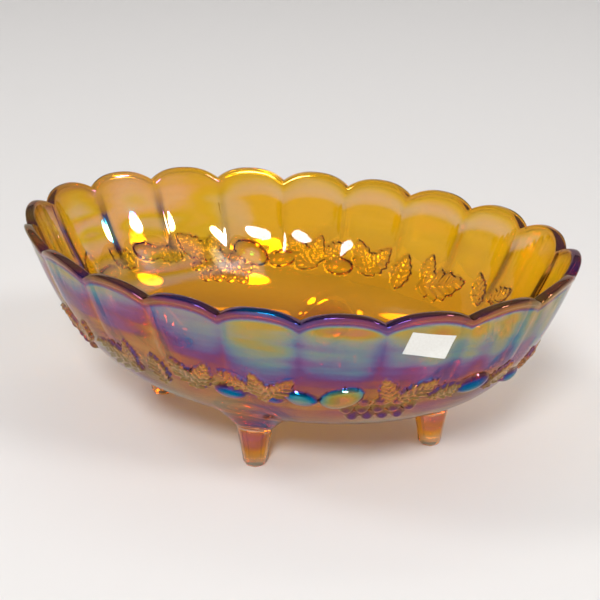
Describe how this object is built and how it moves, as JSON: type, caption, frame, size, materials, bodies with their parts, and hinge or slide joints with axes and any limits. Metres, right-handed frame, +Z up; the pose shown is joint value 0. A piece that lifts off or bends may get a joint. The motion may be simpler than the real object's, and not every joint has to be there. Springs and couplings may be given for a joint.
{
  "type": "footed oval fruit bowl",
  "caption": "Oval scalloped fruit bowl in iridescent amber pressed glass, on tapered octagonal feet, with a fruit garland in relief and a blank paper sticker.",
  "frame": {"origin": "on the table, under the centre of the bowl", "axes": "+X along the bowl's length, +Z up, -Y towards the side with the sticker"},
  "size_m": [0.3096, 0.201, 0.1169],
  "materials": {
    "iridescent_glass": "amber pressed glass, fire polished, with a rainbow lustre on the outside",
    "amber_glass": "amber pressed glass, fire polished, thin lustre",
    "sticker_paper": "matt white label paper, blank"
  },
  "bodies": {
    "root": {"bowl": "iridescent_glass", "foot_front": "amber_glass", "foot_back": "amber_glass", "foot_left": "amber_glass", "foot_right": "amber_glass", "garland_fruit": "iridescent_glass", "garland_grapes": "iridescent_glass", "garland_leaves": "iridescent_glass", "price_sticker": "sticker_paper"}
  },
  "joints": []
}
